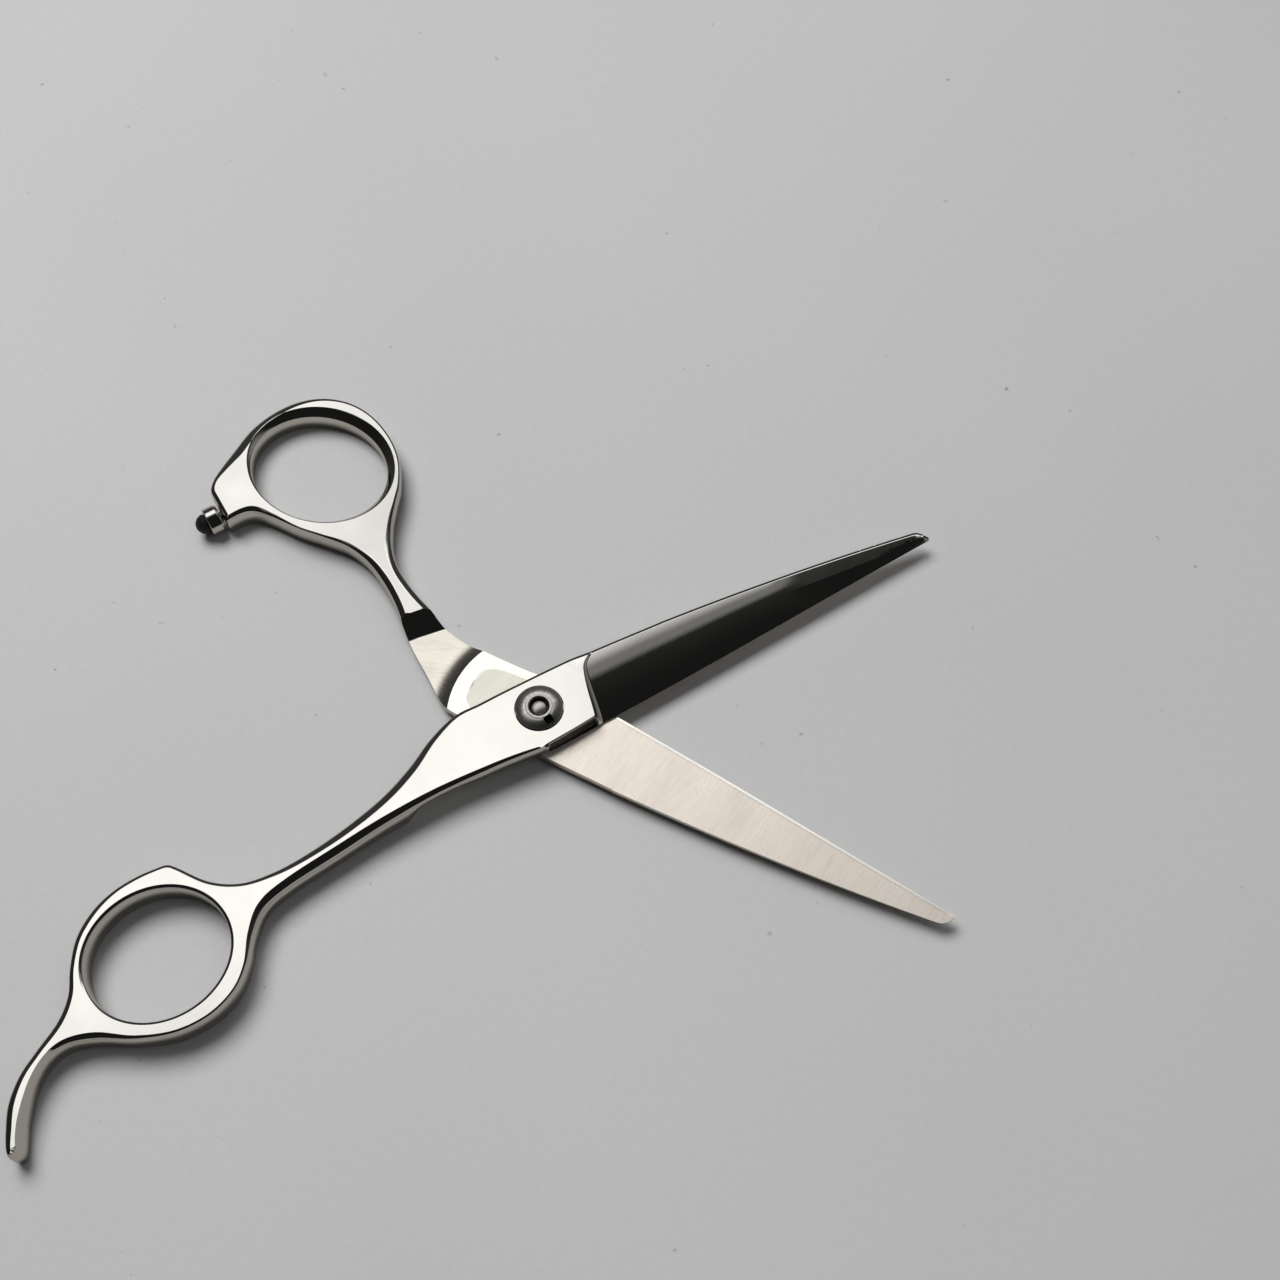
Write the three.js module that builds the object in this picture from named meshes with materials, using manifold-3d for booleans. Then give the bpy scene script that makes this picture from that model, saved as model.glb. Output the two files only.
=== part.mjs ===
// Hair cutting shears, 6 inch, offset handles, lying open on the closed back of the pivot stud.
// Millimetres, +Z up. The pivot axis is the Z axis and the stud's flat back is z = 0.
// Each half is drawn in its own frame with its blade along +X, then turned about the pivot.
import * as THREE from 'three';
import { mergeVertices } from 'three/addons/utils/BufferGeometryUtils.js';
import Module from 'manifold-3d';

const wasm = await Module();
wasm.setup();

// Driving dimensions
const HALF_OPENING = 26.8;        // degrees that each half is turned from the closed line
const PARTING_Z = 3.0;            // height of the plane between the two halves
const RUNNING_GAP = 0.3;          // gap between the halves at the parting plane
const HALF_THICKNESS = 2.85;      // thickness of one half at the pivot
const PLATEAU_Z = PARTING_Z + RUNNING_GAP / 2 + HALF_THICKNESS;
const UPPER_INNER_Z = PARTING_Z + RUNNING_GAP / 2;

// Blade
const BLADE_LENGTH = 71.8;        // pivot to tip
const BLADE_START = -1.8;         // the ground face starts just behind the pivot
const EDGE_HALF_WIDTH = 6.3;      // centre line to cutting edge at the pivot
const SPINE_HALF_WIDTH = 6.05;    // centre line to spine at the pivot
const SPINE_TIP_HALF_WIDTH = 2.0;
const SPINE_POWER = 2.1;          // how late the spine turns in to the tip
const NOSE_LENGTH = 1.8;          // rounded corner between spine and tip
const NOSE_DROP = 1.5;
const EDGE_BELLY = 0.08;          // outward curve of the cutting edge
const BLADE_HEIGHT = 2.4;         // crown above the inner face, at the pivot
const TIP_HEIGHT = 1.2;
const SPINE_BEVEL = 0.35;
const CROWN_POWER = 2.6;          // how late the outer face turns down to the edge
const BLADE_STATIONS = 14;
const CROWN_STEPS = 6;

// Handles
const FINGER_HANDLE_Z = [0.2, PLATEAU_Z];
const THUMB_HANDLE_Z = [0.2, 4.9];
const EDGE_ROUND = 0.6;
const FINGER_HOLE = { x: -67.6, y: -10.8, a: 11.05, b: 10.0 };
const HOLE_STEPS = 44;
const THUMB_HOLE = { x: -55.2, y: 22.7, a: 12.1, b: 10.3 };

// Half lap: the inner face, the shallow valley outside the half moon, and the scoop up to the shank
const MOON_RADIUS = 15.8;
const VALLEY_DEPTH = 0.35;
const FINGER_SCOOP = { angle: 200, base: 23.5, run: 2.6 };
const THUMB_SCOOP = { angle: 137.5, base: 20.6, run: 2.6 };

// Pivot
const NUT_RADIUS = 3.8;
const NUT_Z = [5.35, 6.3];
const NUT_CROWN_Z = 6.95;
const NUT_CROWN_RADIUS = 2.1;
const NUT_BORE_RADIUS = 1.65;
const NUT_SEAT_RADIUS = 4.05;
const NUT_SEAT_Z = 4.9;
const KEY_NOTCH = { width: 1.35, inner: 2.0, depth: 0.7, angle: -53 };
const SPRING_WASHER = { inner: 2.05, outer: 3.6, z: [5.0, 5.2] };
const STUD_RADIUS = 2.5;
const STUD_THREAD_RADIUS = 1.25;
const STUD_HEAD_RADIUS = 4.5;
const STUD_HEAD_Z = 0.9;
const STUD_SHOULDER_Z = 4.7;
const STUD_DOME_Z = 6.75;
const HEAD_SEAT_RADIUS = 4.8;
const HEAD_SEAT_Z = 1.15;
const THUMB_BORE_RADIUS = 2.8;
const BUSH = { inner: 2.6, outer: 3.1, z: [3.25, 4.8] };
const FINGER_BORE_RADIUS = 3.4;
const GLIDE_WASHER = { inner: 2.8, outer: 4.8, z: [2.62, 3.03] };
const GLIDE_RECESS = { radius: 5.1, z: 2.5 };
const ROUND_STEPS = 32;

// Bumper, screwed into the lug of the thumb ring
const LUG_FACE = new THREE.Vector3(-65.15, 8.35, 2.65);
const BUMPER_ANGLE = 238;         // direction of its axis in the thumb half's frame, in degrees
const COLLAR = { radius: 2.25, from: 1.1, to: 3.45, bore: 1.5, neck: 0.85 };
const BUMPER_SCREW = { radius: 0.8, from: -1.6, to: 1.6, pocket: 1.15 };
const PAD = { radius: 1.75, seat: 1.15, from: 1.95, face: 3.75, to: 5.5 };

const degrees = THREE.MathUtils.degToRad;

function material(color, roughness, metalness) {
  return new THREE.MeshStandardMaterial({ color, roughness, metalness });
}

// Booleans
function solid(geometry) {
  const bare = geometry.clone();
  bare.deleteAttribute('normal');
  bare.deleteAttribute('uv');
  const merged = mergeVertices(bare, 1e-4);
  const mesh = new wasm.Mesh({
    numProp: 3,
    vertProperties: new Float32Array(merged.attributes.position.array),
    triVerts: new Uint32Array(merged.index.array),
  });
  return new wasm.Manifold(mesh);
}

function geometryOf(body) {
  const mesh = body.getMesh();
  const geometry = new THREE.BufferGeometry();
  geometry.setAttribute('position', new THREE.BufferAttribute(mesh.vertProperties, 3));
  geometry.setIndex(new THREE.BufferAttribute(mesh.triVerts, 1));
  geometry.computeVertexNormals();
  return geometry;
}

// Round pieces about the Z axis
function lathe(profile) {
  const points = profile.map(([radius, z]) => new THREE.Vector2(radius, z));
  return new THREE.LatheGeometry(points, ROUND_STEPS).rotateX(Math.PI / 2);
}

function ring({ inner, outer, z }) {
  return lathe([[inner, z[0]], [outer, z[0]], [outer, z[1]], [inner, z[1]], [inner, z[0]]]);
}

function cylinder(radius, from, to) {
  return lathe([[0, from], [radius, from], [radius, to], [0, to]]);
}

// An outline is a list of stretches. Points in one stretch lie on a smooth curve,
// and two stretches meet at a corner.
function outline(stretches) {
  const shape = new THREE.Shape();
  shape.moveTo(...stretches[0][0]);
  for (const stretch of stretches) {
    const points = stretch.map(([x, y]) => new THREE.Vector2(x, y));
    if (points.length === 2) shape.lineTo(points[1].x, points[1].y);
    else shape.splineThru(points.slice(1));
  }
  return shape;
}

function ellipseHole({ x, y, a, b }) {
  const rim = new THREE.EllipseCurve(x, y, a, b, 0, 2 * Math.PI, true, 0);
  return new THREE.Path(rim.getPoints(HOLE_STEPS));
}

function roundedPlate(shape, [low, high]) {
  const plate = new THREE.ExtrudeGeometry(shape, {
    depth: high - low - 2 * EDGE_ROUND,
    bevelEnabled: true,
    bevelThickness: EDGE_ROUND,
    bevelSize: EDGE_ROUND,
    bevelOffset: -EDGE_ROUND,
    bevelSegments: 2,
    curveSegments: 3,
  });
  return plate.translate(0, 0, low + EDGE_ROUND);
}

// Blade
function edgeY(x) {
  const t = THREE.MathUtils.clamp(x / BLADE_LENGTH, 0, 1);
  return -EDGE_HALF_WIDTH * (1 - t) * (1 + EDGE_BELLY * Math.sin(Math.PI * t));
}

function spineY(x) {
  const t = THREE.MathUtils.clamp(x / BLADE_LENGTH, 0, 1);
  const taper = THREE.MathUtils.lerp(SPINE_HALF_WIDTH, SPINE_TIP_HALF_WIDTH, Math.pow(t, SPINE_POWER));
  const nose = Math.max(0, (x - BLADE_LENGTH + NOSE_LENGTH) / NOSE_LENGTH);
  return taper - NOSE_DROP * nose * nose;
}

function bladeSection(x) {
  const height = THREE.MathUtils.lerp(BLADE_HEIGHT, TIP_HEIGHT, Math.pow(x / BLADE_LENGTH, 1.5) || 0);
  const spine = spineY(x);
  const width = spine - edgeY(x);
  const bevel = Math.min(SPINE_BEVEL, width / 4);
  const section = [[spine, 0], [spine, height - SPINE_BEVEL]];
  for (let i = 0; i < CROWN_STEPS; i++) {
    const across = i / CROWN_STEPS;
    const y = spine - bevel - (width - bevel) * across;
    section.push([y, height * (1 - Math.pow(across, CROWN_POWER))]);
  }
  section.push([edgeY(x), 0]);
  return section.map(([y, z]) => new THREE.Vector3(x, y, UPPER_INNER_Z + z));
}

// Closed solid through sections that have the same number of points
function loft(sections) {
  const size = sections[0].length;
  const vertices = sections.flat().flatMap((p) => [p.x, p.y, p.z]);
  const faces = [];
  for (let i = 0; i + 1 < sections.length; i++) {
    for (let j = 0; j < size; j++) {
      const a = i * size + j;
      const b = i * size + ((j + 1) % size);
      faces.push(a, b, a + size, b, b + size, a + size);
    }
  }
  const last = (sections.length - 1) * size;
  for (let j = 1; j + 1 < size; j++) {
    faces.push(0, j + 1, j);
    faces.push(last, last + j, last + j + 1);
  }
  const geometry = new THREE.BufferGeometry();
  geometry.setAttribute('position', new THREE.Float32BufferAttribute(vertices, 3));
  geometry.setIndex(faces);
  return geometry;
}

function bladeGeometry() {
  const sections = [];
  for (let i = 0; i <= BLADE_STATIONS; i++) {
    const t = i / BLADE_STATIONS;
    const x = THREE.MathUtils.lerp(BLADE_START, BLADE_LENGTH, 1 - Math.pow(1 - t, 1.25));
    sections.push(bladeSection(Math.max(x, BLADE_START)));
  }
  return loft(sections);
}

// The same piece seen from the other side: a half turn about the X axis in the parting plane
function flipped(geometry) {
  return geometry.clone().translate(0, 0, -PARTING_Z).rotateX(Math.PI).translate(0, 0, PARTING_Z);
}

// Space under the upper half's inner face: u runs from the pivot towards its own shank
function lapCutter({ angle, base, run }) {
  const far = 100;
  const wide = 120;
  const side = new THREE.Shape();
  side.moveTo(-far, UPPER_INNER_Z);
  side.lineTo(base, UPPER_INNER_Z);
  side.lineTo(base + run, -1);
  side.lineTo(-far, -1);
  const cutter = new THREE.ExtrudeGeometry(side, { depth: wide, bevelEnabled: false });
  return cutter.translate(0, 0, -wide / 2).rotateX(Math.PI / 2).rotateZ(degrees(angle));
}

function valleyCutter({ angle, base }) {
  const reach = 32;
  const shape = new THREE.Shape();
  shape.absarc(0, 0, reach, 0, 2 * Math.PI, false);
  const moon = new THREE.Path();
  moon.absarc(0, 0, MOON_RADIUS, 0, 2 * Math.PI, true);
  shape.holes.push(moon);
  const annulus = new THREE.ExtrudeGeometry(shape, { depth: 5, bevelEnabled: false, curveSegments: 24 });
  annulus.translate(0, 0, UPPER_INNER_Z + VALLEY_DEPTH - 5);
  const keep = new THREE.BoxGeometry(base - 6, 60, 20).translate((base + 6) / 2, 0, 0);
  return solid(annulus).intersect(solid(keep.rotateZ(degrees(angle))));
}

const FINGER_OUTLINE = [
  [[9.3, 5.6], [-2, 5.3], [-8, 5.1], [-12.6, 4.9], [-17.6, 3.0], [-22.6, 0.1], [-28.4, -2.5], [-36, -4.6],
    [-43, -5.95], [-48, -6.35], [-52.7, -5.8], [-56.8, -3.5], [-60.2, 0.4]],
  [[-60.2, 0.4], [-61.4, 1.5], [-63.2, 2.0]],
  [[-63.2, 2.0], [-66.5, 2.05], [-70.4, 1.4], [-74.2, -0.2], [-77.6, -3.1], [-79.9, -7.1], [-81.2, -10.7],
    [-84.1, -13.9], [-88.2, -16.6], [-91.5, -18.9], [-94.2, -22.0], [-95.7, -25.4], [-96.5, -28.5]],
  [[-96.5, -28.5], [-96.1, -29.4], [-95.0, -29.5], [-94.2, -28.4]],
  [[-94.2, -28.4], [-92.9, -24.8], [-90.4, -20.4], [-87.4, -17.9], [-84, -17.5], [-79.8, -18.8], [-74.7, -21.4],
    [-69.2, -23.1], [-63.9, -23.0], [-59.4, -21.2], [-56.3, -18.2], [-53.6, -14.0], [-50.6, -11.0],
    [-46.1, -9.5], [-38, -8.2], [-29.6, -6.9], [-20, -6.0], [-11, -5.9], [-2.8, -5.9]],
  [[-2.8, -5.9], [-1.6, -5.2], [1.2, -4.8], [7.4, -4.5]],
  [[7.4, -4.5], [9.3, 5.6]],
];

const THUMB_OUTLINE = [
  [[4, 5.75], [-8, 5.8], [-16, 5.9], [-21.2, 6.8], [-25.4, 8.2], [-29.6, 10.0], [-33.4, 12.2], [-36.4, 15.2],
    [-38.6, 19.0], [-40.0, 22.6], [-41.4, 26.2], [-44.4, 30.6], [-48.4, 33.7], [-53, 35.6], [-57.6, 36.0],
    [-62, 34.8], [-65.6, 32.2], [-68.3, 28.4], [-69.9, 23.8], [-70.3, 18.6], [-69.9, 13.6], [-69.2, 10.8]],
  [[-69.2, 10.8], [-68.6, 9.9], [-67.3, 9.7]],
  [[-67.3, 9.7], [-63.0, 7.0]],
  [[-63.0, 7.0], [-62.0, 9.2]],
  [[-62.0, 9.2], [-60.2, 10.3], [-57, 10.6], [-52, 10.7], [-47.6, 11.2], [-43, 11.6],
    [-38.7, 10.8], [-34.7, 8.9], [-30.9, 6.4], [-27.7, 3.7], [-24.2, 1.0], [-19.7, -2.0], [-15.6, -4.9],
    [-13.2, -5.8]],
  [[-13.2, -5.8], [4, -5.8]],
  [[4, -5.8], [4, 5.75]],
];

// Bumper pieces are turned about X = axis, so they are made along Z and then laid over
function alongBumper(geometry) {
  const turned = geometry.rotateY(Math.PI / 2).rotateZ(degrees(BUMPER_ANGLE));
  return turned.translate(LUG_FACE.x, LUG_FACE.y, LUG_FACE.z);
}

function fingerHalf() {
  const shape = outline(FINGER_OUTLINE);
  shape.holes.push(ellipseHole(FINGER_HOLE));
  return solid(roundedPlate(shape, FINGER_HANDLE_Z))
    .subtract(solid(lapCutter(FINGER_SCOOP)))
    .subtract(valleyCutter(FINGER_SCOOP))
    .add(solid(bladeGeometry()))
    .subtract(solid(cylinder(FINGER_BORE_RADIUS, 0, 10)))
    .subtract(solid(cylinder(NUT_SEAT_RADIUS, NUT_SEAT_Z, 10)));
}

function thumbHalf() {
  const shape = outline(THUMB_OUTLINE);
  shape.holes.push(ellipseHole(THUMB_HOLE));
  const lap = solid(flipped(lapCutter({ ...THUMB_SCOOP, angle: -THUMB_SCOOP.angle })));
  const valley = valleyCutter({ ...THUMB_SCOOP, angle: -THUMB_SCOOP.angle });
  const pocket = alongBumper(cylinder(BUMPER_SCREW.pocket, BUMPER_SCREW.from - 0.4, 4));
  return solid(roundedPlate(shape, THUMB_HANDLE_Z))
    .subtract(lap)
    .subtract(solid(flipped(geometryOf(valley))))
    .add(solid(flipped(bladeGeometry())))
    .subtract(solid(cylinder(THUMB_BORE_RADIUS, -1, 10)))
    .subtract(solid(cylinder(HEAD_SEAT_RADIUS, -1, HEAD_SEAT_Z)))
    .subtract(solid(cylinder(GLIDE_RECESS.radius, GLIDE_RECESS.z, 10)))
    .subtract(solid(pocket));
}

function pivotStud() {
  const chamfer = 0.3;
  return lathe([
    [0, 0], [STUD_HEAD_RADIUS - chamfer, 0], [STUD_HEAD_RADIUS, chamfer], [STUD_HEAD_RADIUS, STUD_HEAD_Z],
    [STUD_RADIUS, STUD_HEAD_Z], [STUD_RADIUS, STUD_SHOULDER_Z], [STUD_THREAD_RADIUS, STUD_SHOULDER_Z],
    [STUD_THREAD_RADIUS, STUD_DOME_Z - 0.5], [STUD_THREAD_RADIUS * 0.75, STUD_DOME_Z - 0.15], [0, STUD_DOME_Z],
  ]);
}

function tensionNut() {
  const disc = lathe([
    [NUT_BORE_RADIUS, NUT_Z[0]], [NUT_RADIUS, NUT_Z[0]], [NUT_RADIUS, NUT_Z[1]],
    [NUT_CROWN_RADIUS, NUT_CROWN_Z], [NUT_BORE_RADIUS, NUT_CROWN_Z], [NUT_BORE_RADIUS, NUT_Z[0]],
  ]);
  const reach = 3;
  const notch = new THREE.BoxGeometry(reach, KEY_NOTCH.width, 2);
  notch.translate(KEY_NOTCH.inner + reach / 2, 0, NUT_Z[1] - KEY_NOTCH.depth + 1);
  return solid(disc).subtract(solid(notch.rotateZ(degrees(KEY_NOTCH.angle))));
}

function bumperCollar() {
  const { radius, from, to, bore, neck } = COLLAR;
  const floor = PAD.from - 0.25;
  const chamfer = 0.3;
  return alongBumper(lathe([
    [neck + 0.25, from], [radius - chamfer, from], [radius, from + chamfer], [radius, to - chamfer],
    [radius - chamfer, to], [bore, to], [bore, floor], [neck + 0.25, floor], [neck + 0.25, from],
  ]));
}

function bumperScrew() {
  return alongBumper(cylinder(BUMPER_SCREW.radius, BUMPER_SCREW.from, BUMPER_SCREW.to));
}

function bumperPad() {
  const { radius, seat, from, face, to } = PAD;
  const profile = [[0, from], [seat, from], [seat, face], [radius, face]];
  const steps = 5;
  for (let i = 1; i <= steps; i++) {
    const turn = (i / steps) * Math.PI / 2;
    profile.push([i === steps ? 0 : radius * Math.cos(turn), face + (to - face) * Math.sin(turn)]);
  }
  return alongBumper(lathe(profile));
}

const polished = () => material(0xd9dadb, 0.12, 1);
const brushed = () => material(0xb9bab8, 0.35, 1);
const nylon = () => material(0xe9e6dc, 0.5, 0);
const rubber = () => material(0x111112, 0.75, 0);

function add(group, name, geometry, look) {
  const mesh = new THREE.Mesh(geometry, look);
  mesh.name = name;
  group.add(mesh);
}

const shears = new THREE.Group();

const upper = new THREE.Group();
upper.rotation.z = degrees(HALF_OPENING);
add(upper, 'finger_half', geometryOf(fingerHalf()), polished());
add(upper, 'pivot_bush', ring(BUSH), nylon());
add(upper, 'spring_washer', ring(SPRING_WASHER), brushed());
shears.add(upper);

const lower = new THREE.Group();
lower.rotation.z = degrees(-HALF_OPENING);
add(lower, 'thumb_half', geometryOf(thumbHalf()), polished());
add(lower, 'bumper_collar', bumperCollar(), polished());
add(lower, 'bumper_screw', bumperScrew(), brushed());
add(lower, 'bumper_pad', bumperPad(), rubber());
shears.add(lower);

add(shears, 'pivot_stud', pivotStud(), polished());
add(shears, 'glide_washer', ring(GLIDE_WASHER), nylon());
add(shears, 'tension_nut', geometryOf(tensionNut()), brushed());

export default shears;
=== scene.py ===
"""Hair cutting shears, 6 inch: the looks. Lengths are millimetres in the row frame until a mesh is made.

Each half is described in its own drawing frame: blade along +X, cutting edge towards -Y, heights measured
from the parting plane towards the outer face. The finger half is turned +26.8 degrees about the pivot. The
thumb half is first rolled half a turn about X and then turned -26.8 degrees.
"""
import math

import bpy
import numpy as np
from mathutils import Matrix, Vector, geometry


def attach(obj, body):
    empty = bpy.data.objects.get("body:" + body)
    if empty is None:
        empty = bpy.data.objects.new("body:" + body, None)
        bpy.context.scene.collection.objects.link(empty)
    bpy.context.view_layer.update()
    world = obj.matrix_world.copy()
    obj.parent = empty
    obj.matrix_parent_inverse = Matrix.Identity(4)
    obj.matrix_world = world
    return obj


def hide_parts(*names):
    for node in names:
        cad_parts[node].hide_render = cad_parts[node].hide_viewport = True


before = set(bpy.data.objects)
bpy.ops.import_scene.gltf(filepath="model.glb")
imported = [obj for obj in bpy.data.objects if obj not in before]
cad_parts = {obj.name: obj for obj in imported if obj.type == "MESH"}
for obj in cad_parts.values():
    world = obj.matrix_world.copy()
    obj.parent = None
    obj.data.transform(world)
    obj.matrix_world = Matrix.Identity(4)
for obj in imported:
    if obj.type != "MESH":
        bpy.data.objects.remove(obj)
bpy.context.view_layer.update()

MM = 0.001
HALF_OPENING = math.radians(26.8)
PARTING_Z = 3.0
HALF_GAP = 0.15                   # from the parting plane to each inner face

# Blade
BLADE_LENGTH = 71.8
HEEL_X = -2.4
EDGE_HALF_WIDTH = 6.3
SPINE_HALF_WIDTH = 6.05
SPINE_TIP_HALF_WIDTH = 2.0
SPINE_POWER = 2.1
NOSE_LENGTH = 1.8
NOSE_DROP = 1.5
EDGE_BELLY = 0.08
BLADE_HEIGHT = 2.4
TIP_HEIGHT = 0.95
CROWN_POWER = 2.6
CROWN_TILT = 0.2                   # share of the fall that is spread evenly over the width
EDGE_THICKNESS = 0.07
SPINE_ROUND = 0.62
NOSE_RIDGE = ((44, 53.1, 62.4, 71.0), (1.5, 1.0, .62, .75))       # the crease along the nose: x, y
NOSE_SLOPE = 0.14
NOSE_START = (43, 49)

FACET_SLOPE = 0.42
STEEP_DROP = 2.9
WALL_ROWS = (.2, .5, .8)
WALL_BULGE = 0.035
WALL_LEAN = math.radians(20)

# Half lap
MOON_RADIUS = 15.0
VALLEY_START = 20.1
VALLEY_DEPTH = 1.15
OVAL = (12.6, 4.7, .05)            # half length, half width and depth of the shallow recess in the half moon
RIDE_WIDTH = 0.38                  # bright line left along the cutting edge of the inner face
RIDE_STEP = 0.2                    # width over which the ride line falls into the hollow
HOLLOW = 0.02
VALLEY_POWER = 2.7

SEAT_WALL = 0.03                   # plan width of the nearly upright wall of a seat or notch

# Tension nut
NUT_RADIUS = 3.8
NUT_BORE = 1.5
NUT_TOP = 3.3
NUT_BACK = 2.35
NUT_RING = (2.06, 2.16)            # where the raised ring round the stud ends and the cone begins
NOTCH = (2.08, 3.35, .675)         # start and end from the axis outwards, and half width
NOTCH_FLOOR = 2.5
NOTCH_ANGLE = math.radians(-53)

# Camera and stage, in metres and degrees
CAMERA_PLACE = (.01692, -.11003, .25869)
CAMERA_TURN = (25.80, 0, .5)
FIELD_OF_VIEW = 40.37
FLOOR_SIZE = 1.6
FLOOR_STEPS = 8
FLOOR_MIRRORED = (.78, .74, .685)  # share of the floor's colour that mirror reflections see
WINDOW_SLANT = .7

# Mesh fineness
OUTLINE_STEP = 0.42
GRID_STEP = 0.95
PROBE_SHIFT = 0.02                 # how far inside its face each corner's slope is measured
SLOPE_STEP = 2e-4
BEVEL_SHARES = (.02, .05, .09, .14, .2, .28, .4, .6, .8, 1.0)

# Each point of an outline is x, y, and how far the rounding reaches in on the outer and on the inner side
FINGER_HANDLE = [
    [(24.0, 5.62, .62, .05), (9.3, 5.78, .6, .05), (-2, 5.42, .6, .1), (-8, 5.1, .65, .3),
     (-12.6, 4.9, .8, .6), (-17.6, 3.0, 1.2, .9), (-22.6, 0.1, 1.6, .9),
     (-28.4, -2.5, 1.6, .9), (-36, -4.6, 1.5, .9),
     (-43, -5.95, 1.2, .8), (-48, -6.35, .9, .7), (-52.7, -5.8, .7, .5), (-56.8, -3.5, .65, .5),
     (-60.3, 0.55, .6, .4), (-61.5, 1.65, .6, .4), (-63.1, 1.9, .6, .4), (-66.5, 1.95, .65, .4),
     (-70.4, 1.35, .7, .4), (-74.2, -0.2, .9, .4), (-77.6, -3.1, .85, .4), (-79.9, -7.1, .75, .5),
     (-81.5, -10.9, .9, .5), (-84.1, -13.9, 1.0, .5), (-88.2, -16.6, .9, .6), (-91.5, -18.9, .95, .6),
     (-94.2, -22.0, 1.1, .6), (-95.7, -25.4, 1.1, .5), (-96.45, -28.2, .85, .4), (-96.35, -29.3, .6, .4, .3),
     (-95.5, -29.7, .5, .4, .8), (-94.6, -28.9, .55, .4, 1), (-93.8, -27.0, .7, .4, 1),
     (-92.7, -24.5, .6, .4, 1), (-90.2, -20.7, .4, .5, .9), (-87.3, -18.3, .4, .5, .6),
     (-84, -17.6, .7, .5, .2), (-79.8, -18.8, .9, .4), (-74.7, -21.4, .5, .4),
     (-69.2, -23.1, .35, .4), (-63.9, -23.0, .3, .4), (-59.4, -21.2, .3, .4), (-56.3, -18.2, .4, .5),
     (-53.6, -14.0, .8, .6), (-50.6, -11.0, 1.15, .8), (-46.1, -9.5, 1.2, .9), (-38, -8.2, 1.25, .9),
     (-29.6, -6.9, 1.1, .9), (-20, -6.0, .85, .8), (-11, -5.9, .65, .5), (-6, -6.05, .5, .2),
     (HEEL_X, -EDGE_HALF_WIDTH, .3, .05)],
]
FINGER_HOLE = {"x": -67.6, "y": -10.8, "a": 11.05, "b": 10.0}

THUMB_HANDLE = [
    [(16.0, 5.8, .35, .04), (4, 5.8, .4, .05), (-8, 5.8, .5, .05), (-13.2, 5.75, .6, .1),
     (-15.6, 4.9, .7, .4), (-19.7, 2.0, .8, 1.1), (-24.2, -1.0, .9, 1.2),
     (-27.7, -3.7, .9, 1.2), (-30.9, -6.4, .9, 1.2),
     (-34.7, -8.9, .8, 1.2), (-38.7, -10.8, .7, 1.0), (-43, -11.6, .6, .7), (-47.6, -11.2, .5, .4),
     (-52, -10.7, .4, .35), (-57, -10.6, .4, .7), (-60.2, -10.2, .4, .95), (-61.9, -9.0, .4, .8),
     (-63.35, -6.55, .4, .7)],
    [(-63.35, -6.55, .4, .7), (-67.65, -9.15, .4, .8)],
    [(-67.65, -9.15, .4, .8), (-69.05, -10.2, .4, .75), (-69.75, -12.0, .4, .8), (-70.1, -14.4, .5, 1.3),
     (-70.3, -18.6, .6, 2.15), (-69.9, -23.8, .6, 1.9), (-68.3, -28.4, .6, 1.6), (-65.6, -32.2, .5, 1.2),
     (-62, -34.8, .5, .8), (-57.6, -36.0, .5, .55), (-53, -35.6, .45, .42), (-48.4, -33.7, .4, .38),
     (-44.4, -30.6, .4, .35), (-41.4, -26.2, .4, .38), (-40.0, -22.6, .5, .5), (-38.6, -19.0, .6, .8),
     (-36.4, -15.2, .7, 1.15), (-33.4, -12.2, .8, 1.2), (-29.6, -10.0, .9, 1.2), (-25.4, -8.2, .9, 1.1),
     (-21.2, -6.8, .8, .8), (-16, -5.95, .6, .2), (-8, -5.95, .5, .05), (HEEL_X, -EDGE_HALF_WIDTH, .3, .05)],
]
THUMB_HOLE = {"x": -55.3, "y": -22.5, "a": 12.1, "b": 10.2}
THUMB_RIM = {"x": -55.15, "y": -23.1, "a": 13.15, "b": 11.1}

# The plateau's front, from the heel to the spine: x, y, reach of the wall's foot, reach of its top edge
FRONT_HEEL = [(-2.95, -7.5, .05, .25), (-2.6, -6.8, .05, .25), (-2.0, -6.42, .05, .25),
              (-1.0, -6.22, .05, .25), (1.0, -6.02, .05, .25), (4.0, -5.68, .06, .22), (7.4, -5.2, .08, .18)]
FRONT_STEP = [(7.4, -5.2, 1.2, .1), (7.65, -4.0, 1.2, .08), (8.4, 0, 1.0, .06), (9.1, 2.6, .75, .06),
              (9.7, 3.9, .5, .06), (10.7, 4.9, .35, .05), (12.2, 5.7, .25, .05), (14.5, 6.6, .2, .05)]


# ---------------------------------------------------------------- curves
def spline(points, step):
    """A smooth curve through the points, at an even spacing. Every column is carried along."""
    p = np.array([[*point, 0] if len(point) == 4 else point for point in points], float)
    if len(p) == 2:
        fine = p
    else:
        before = np.vstack([p[:1], p[:-2]])
        after = np.vstack([p[2:], p[-1:]])
        t = np.linspace(0, 1, 24, endpoint=False)[:, None]
        parts = []
        for p0, p1, p2, p3 in zip(before, p[:-1], p[1:], after):
            m1 = (p2 - p0) / 2
            m2 = (p3 - p1) / 2
            parts.append((2 * t**3 - 3 * t**2 + 1) * p1 + (t**3 - 2 * t**2 + t) * m1
                         + (3 * t**2 - 2 * t**3) * p2 + (t**3 - t**2) * m2)
        fine = np.vstack(parts + [p[-1:]])
    run = np.concatenate([[0], np.cumsum(np.hypot(*np.diff(fine[:, :2], axis=0).T))])
    count = max(1, round(run[-1] / step))
    at = np.linspace(0, run[-1], count + 1)
    return np.stack([np.interp(at, run, column) for column in fine.T], 1)


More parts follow.
